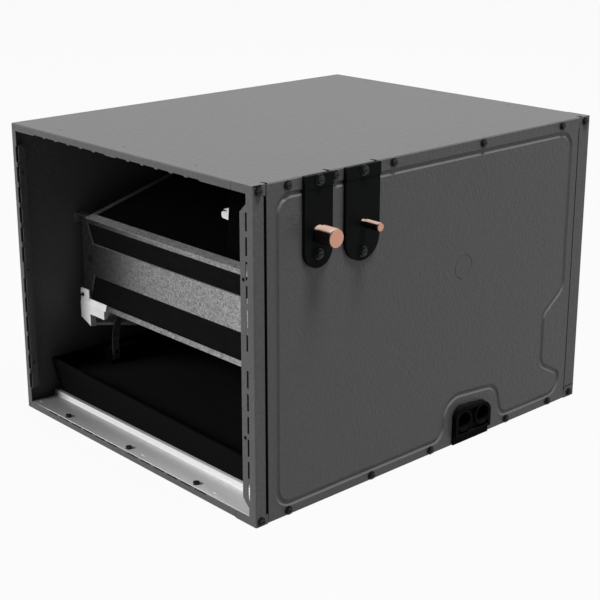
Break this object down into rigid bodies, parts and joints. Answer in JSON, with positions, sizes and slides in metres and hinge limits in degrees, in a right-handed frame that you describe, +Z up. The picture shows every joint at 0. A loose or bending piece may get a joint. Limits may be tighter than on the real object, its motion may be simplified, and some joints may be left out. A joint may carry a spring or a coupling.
{
  "type": "evaporator coil",
  "caption": "Cased evaporator coil laid on its side: open-ended sheet-steel cabinet with a wedge of finned slabs over a drain pan, copper stubs and a screwed service panel.",
  "frame": {"origin": "middle of the casing's base", "axes": "+X towards the service panel and the copper stubs, +Y along the airway from the apex of the coil to its open end, +Z up"},
  "size_m": [0.574, 0.661, 0.4449],
  "materials": {
    "casing_paint": "fine pebble-grain grey enamel",
    "door_paint": "fine pebble-grain grey enamel",
    "black_moulding": "black moulded plastic",
    "screw_steel": "dark plated steel",
    "fins": "thin aluminium fins, dark in the shade",
    "galvanised_steel": "spangled galvanised steel",
    "dark_steel": "galvanised steel in shade",
    "copper": "bare copper tube",
    "brass": "turned brass",
    "white_moulding": "white moulded plastic"
  },
  "bodies": {
    "root": {"casing_wrap": "casing_paint", "front_corner_post": "casing_paint", "rear_corner_post": "casing_paint", "access_door": "door_paint", "suction_seal_plate": "black_moulding", "liquid_seal_plate": "black_moulding", "door_screws": "screw_steel", "post_screws": "screw_steel", "seal_plate_screws": "screw_steel", "upper_fin_pack": "fins", "lower_fin_pack": "fins", "upper_left_tube_sheet": "galvanised_steel", "upper_right_tube_sheet": "galvanised_steel", "lower_left_tube_sheet": "galvanised_steel", "lower_right_tube_sheet": "galvanised_steel", "upper_hairpins": "copper", "lower_hairpins": "copper", "upper_return_bends": "copper", "lower_return_bends": "copper", "upper_front_angle": "galvanised_steel", "lower_front_angle": "galvanised_steel", "apex_plate": "galvanised_steel", "apex_screw": "screw_steel", "left_delta_plate": "galvanised_steel", "right_delta_plate": "galvanised_steel", "coil_bracket": "galvanised_steel", "rear_baffle": "galvanised_steel", "piping_baffle": "dark_steel", "drip_clip": "white_moulding", "end_gutter": "white_moulding", "drain_pan": "black_moulding", "front_rail": "galvanised_steel", "rear_rail": "galvanised_steel", "rail_screws": "screw_steel", "support_block": "black_moulding", "support_strap": "galvanised_steel", "strap_screw": "screw_steel", "suction_manifold": "copper", "liquid_line": "copper", "metering_body": "brass", "feeder_tubes": "copper"}
  },
  "joints": []
}
